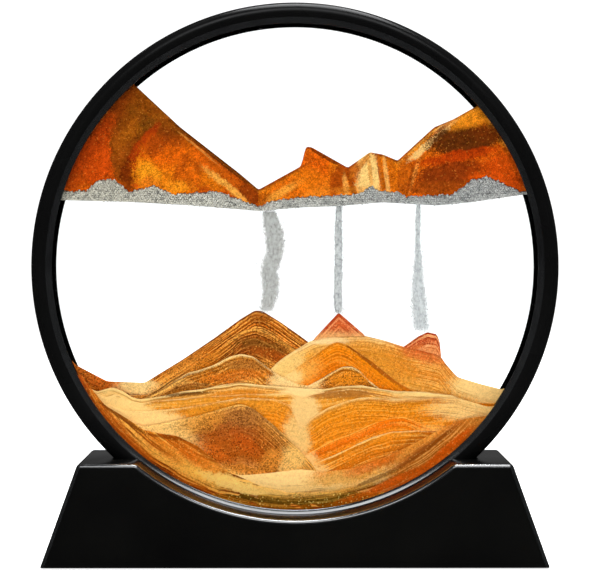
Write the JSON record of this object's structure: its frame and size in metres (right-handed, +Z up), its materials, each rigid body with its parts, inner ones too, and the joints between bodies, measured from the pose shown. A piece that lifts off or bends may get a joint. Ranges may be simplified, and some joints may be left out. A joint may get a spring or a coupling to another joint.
{
  "type": "moving sand art frame",
  "caption": "Round double-glazed frame of coloured sand in liquid that turns in a low sloped stand, so the sand falls through a layer of bubbles into dunes.",
  "frame": {"origin": "centre of the stand's footprint, at the underside of the foot pads", "axes": "+Z up, +Y from the front pane to the rear pane along the disc's turning axis, +X to the right seen from the front"},
  "size_m": [0.18, 0.04, 0.1905],
  "materials": {
    "black_moulding": "satin",
    "clear_glass": "polished",
    "clear_liquid": "polished",
    "seal_rubber": "matte",
    "foot_rubber": "matte",
    "screw_steel": "satin",
    "air_bubbles": "matte",
    "falling_sand": "matte",
    "dark_sand": "matte",
    "orange_sand": "matte",
    "amber_sand": "matte",
    "brown_sand": "matte",
    "cream_sand": "matte",
    "red_sand": "matte",
    "gold_sand": "satin"
  },
  "bodies": {
    "stand": {"stand_shell": "black_moulding", "stand_base_plate": "black_moulding", "base_screw_1": "screw_steel", "base_screw_2": "screw_steel", "base_screw_3": "screw_steel", "base_screw_4": "screw_steel", "foot_pad_1": "foot_rubber", "foot_pad_2": "foot_rubber", "foot_pad_3": "foot_rubber", "foot_pad_4": "foot_rubber"},
    "sand_disc": {"front_bezel": "black_moulding", "rear_bezel": "black_moulding", "front_glass": "clear_glass", "rear_glass": "clear_glass", "rim_spacer": "seal_rubber", "fill_plug": "seal_rubber", "liquid_above": "clear_liquid", "liquid_below": "clear_liquid", "bubble_layer": "air_bubbles", "upper_sand_left": "dark_sand", "upper_sand_middle": "orange_sand", "upper_sand_right": "amber_sand", "stream_left": "falling_sand", "stream_centre": "falling_sand", "stream_right": "falling_sand", "red_heap_centre": "red_sand", "red_heap_right": "red_sand", "back_range": "amber_sand", "middle_range": "orange_sand", "front_terrace": "cream_sand", "front_mound_left": "brown_sand", "front_mound_right": "amber_sand", "gold_bed": "gold_sand"}
  },
  "joints": [
    {"name": "disc_turn", "type": "hinge", "parent": "stand", "child": "sand_disc", "pos_m": [0, 0, 0.1005], "axis": [0, 1, 0], "continuous": true}
  ]
}
